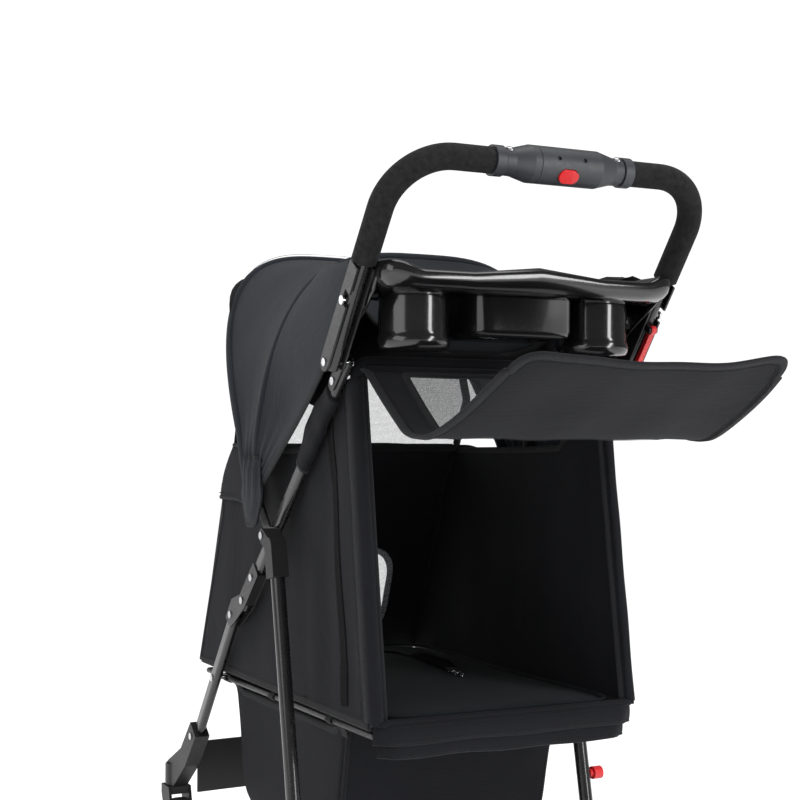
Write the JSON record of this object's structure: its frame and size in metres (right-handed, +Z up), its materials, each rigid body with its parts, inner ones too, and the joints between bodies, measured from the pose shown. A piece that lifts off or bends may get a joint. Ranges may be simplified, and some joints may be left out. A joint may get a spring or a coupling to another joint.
{
  "type": "pet stroller",
  "caption": "Folding four-wheel pet carriage with a fabric cabin, lifted rear flap, canopy, cup tray, storage basket and foam handle.",
  "frame": {"origin": "middle of the footprint, on the floor under the wheels", "axes": "+X to the user's right, +Y forward in the direction of travel, +Z up"},
  "size_m": [0.49, 1.0039, 0.9932],
  "materials": {
    "tube_steel": "gloss",
    "dark_steel": "satin",
    "black_plastic": "satin",
    "gloss_plastic": "gloss",
    "grey_plastic": "satin",
    "red_plastic": "gloss",
    "black_fabric": "matte",
    "canopy_fabric": "matte",
    "pad_fabric": "matte",
    "net": "matte",
    "foam": "matte",
    "bright_steel": "polished",
    "tyre_rubber": "matte"
  },
  "bodies": {
    "frame": {"upper_tube_left": "tube_steel", "upper_tube_right": "tube_steel", "front_leg_left": "tube_steel", "front_leg_right": "tube_steel", "lock_channel_left": "dark_steel", "lock_channel_right": "dark_steel", "hub_plates": "dark_steel", "front_socket_left": "black_plastic", "front_socket_right": "black_plastic", "front_panel": "black_plastic", "handle_channel_left": "tube_steel", "handle_channel_right": "tube_steel", "cup_tray": "gloss_plastic", "frame_rivets": "bright_steel", "cabin_walls": "black_fabric", "front_mesh": "net", "rear_hoop": "tube_steel"},
    "handle": {"handle_tube_left": "tube_steel", "handle_tube_right": "tube_steel", "foam_grip_left": "foam", "foam_grip_right": "foam", "handle_housing": "grey_plastic", "housing_cover": "grey_plastic", "grip_collars": "grey_plastic", "button_spring": "bright_steel", "release_cables": "bright_steel"},
    "button": {"release_button": "red_plastic"},
    "latch": {"latch_pins": "bright_steel"},
    "hook": {"safety_hook": "red_plastic"},
    "rear_legs": {"rear_leg_left": "tube_steel", "rear_leg_right": "tube_steel", "leg_caps": "black_plastic", "rear_axle": "bright_steel", "axle_foot_left": "black_plastic", "axle_foot_right": "black_plastic"},
    "rear_wheel_left": {"rear_tyre_left": "tyre_rubber", "rear_rim_left": "black_plastic"},
    "rear_wheel_right": {"rear_tyre_right": "tyre_rubber", "rear_rim_right": "black_plastic"},
    "brake_left": {"brake_pedal_left": "red_plastic"},
    "brake_right": {"brake_pedal_right": "red_plastic"},
    "knob_left": {"leg_knob_left": "red_plastic"},
    "knob_right": {"leg_knob_right": "red_plastic"},
    "caster_left": {"caster_fork_left": "black_plastic"},
    "caster_right": {"caster_fork_right": "black_plastic"},
    "front_wheel_left": {"front_tyre_left": "tyre_rubber", "front_rim_left": "black_plastic"},
    "front_wheel_right": {"front_tyre_right": "tyre_rubber", "front_rim_right": "black_plastic"},
    "floor": {"floor_frame": "tube_steel", "floor_board": "black_fabric", "floor_pad": "pad_fabric", "tether": "black_fabric", "storage_basket": "black_fabric"},
    "flap_top": {"flap_upper": "black_fabric"},
    "flap_end": {"flap_lower": "black_fabric"},
    "canopy_mid": {"canopy_mid_bow": "black_plastic", "canopy_rear_cover": "canopy_fabric"},
    "canopy_front": {"canopy_front_bow": "black_plastic", "canopy_front_cover": "canopy_fabric"}
  },
  "joints": [
    {"name": "handle_fold", "type": "hinge", "parent": "frame", "child": "handle", "pos_m": [0, -0.137, 0.752], "axis": [1, 0, 0], "range_deg": [0, 120], "deforming": ["flap_upper", "flap_lower"]},
    {"name": "button_press", "type": "slide", "parent": "handle", "child": "button", "axis": [0, 0.766, 0.6428], "range_m": [0, 0.005], "stiffness_N_per_m": 400, "springref_m": -0.002, "deforming": ["button_spring", "release_cables"]},
    {"name": "latch_slide", "type": "slide", "parent": "handle", "child": "latch", "axis": [0, -0.5976, 0.8018], "range_m": [0, 0.008]},
    {"name": "hook_swing", "type": "hinge", "parent": "handle", "child": "hook", "pos_m": [0, -0.19246, 0.80046], "axis": [1, 0, 0], "range_deg": [-60, 0]},
    {"name": "rear_legs_fold", "type": "hinge", "parent": "frame", "child": "rear_legs", "pos_m": [0, 0.05, 0.54], "axis": [1, 0, 0], "range_deg": [0, 52]},
    {"name": "floor_fold", "type": "hinge", "parent": "frame", "child": "floor", "pos_m": [0, 0.2964, 0.324], "axis": [1, 0, 0], "range_deg": [-45, 0]},
    {"name": "rear_wheel_left_spin", "type": "hinge", "parent": "rear_legs", "child": "rear_wheel_left", "pos_m": [-0.231, -0.064, 0.075], "axis": [1, 0, 0], "continuous": true},
    {"name": "rear_wheel_right_spin", "type": "hinge", "parent": "rear_legs", "child": "rear_wheel_right", "pos_m": [0.231, -0.064, 0.075], "axis": [1, 0, 0], "continuous": true},
    {"name": "brake_left_press", "type": "hinge", "parent": "rear_legs", "child": "brake_left", "pos_m": [-0.20965, -0.094, 0.101], "axis": [1, 0, 0], "range_deg": [0, 20]},
    {"name": "brake_right_press", "type": "hinge", "parent": "rear_legs", "child": "brake_right", "pos_m": [0.20965, -0.094, 0.101], "axis": [1, 0, 0], "range_deg": [0, 20]},
    {"name": "knob_left_pull", "type": "slide", "parent": "rear_legs", "child": "knob_left", "axis": [-1, 0, 0], "range_m": [0, 0.006], "stiffness_N_per_m": 300, "springref_m": -0.002},
    {"name": "knob_right_pull", "type": "slide", "parent": "rear_legs", "child": "knob_right", "axis": [1, 0, 0], "range_m": [0, 0.006], "stiffness_N_per_m": 300, "springref_m": -0.002},
    {"name": "caster_left_swivel", "type": "hinge", "parent": "frame", "child": "caster_left", "pos_m": [-0.1895, 0.468, 0.15], "axis": [0, 0, 1], "continuous": true},
    {"name": "caster_right_swivel", "type": "hinge", "parent": "frame", "child": "caster_right", "pos_m": [0.1895, 0.468, 0.15], "axis": [0, 0, 1], "continuous": true},
    {"name": "front_wheel_left_spin", "type": "hinge", "parent": "caster_left", "child": "front_wheel_left", "pos_m": [-0.1895, 0.44, 0.062], "axis": [1, 0, 0], "continuous": true},
    {"name": "front_wheel_right_spin", "type": "hinge", "parent": "caster_right", "child": "front_wheel_right", "pos_m": [0.1895, 0.44, 0.062], "axis": [1, 0, 0], "continuous": true},
    {"name": "flap_fold", "type": "hinge", "parent": "frame", "child": "flap_top", "pos_m": [0, -0.131, 0.75], "axis": [1, 0, 0], "range_deg": [0, 53.9]},
    {"name": "flap_unfold", "type": "hinge", "parent": "flap_top", "child": "flap_end", "pos_m": [0, -0.3085, 0.657], "axis": [1, 0, 0], "range_deg": [0, 54.76]},
    {"name": "canopy_fold", "type": "hinge", "parent": "canopy_mid", "child": "canopy_front", "pos_m": [0, 0.115, 0.578], "axis": [1, 0, 0], "range_deg": [0, 40], "deforming": ["canopy_rear_cover", "canopy_front_cover"]},
    {"name": "canopy_mid_fold", "type": "hinge", "parent": "frame", "child": "canopy_mid", "pos_m": [0, 0.115, 0.578], "axis": [1, 0, 0], "range_deg": [0, 14]}
  ],
  "couplings": [
    {"joint": "latch_slide", "follows": "button_press", "ratio": 1.6},
    {"joint": "rear_legs_fold", "follows": "handle_fold", "ratio": 0.43333},
    {"joint": "floor_fold", "follows": "handle_fold", "ratio": -0.375},
    {"joint": "flap_unfold", "follows": "flap_fold", "ratio": 1.0159},
    {"joint": "canopy_mid_fold", "follows": "canopy_fold", "ratio": 0.35}
  ]
}
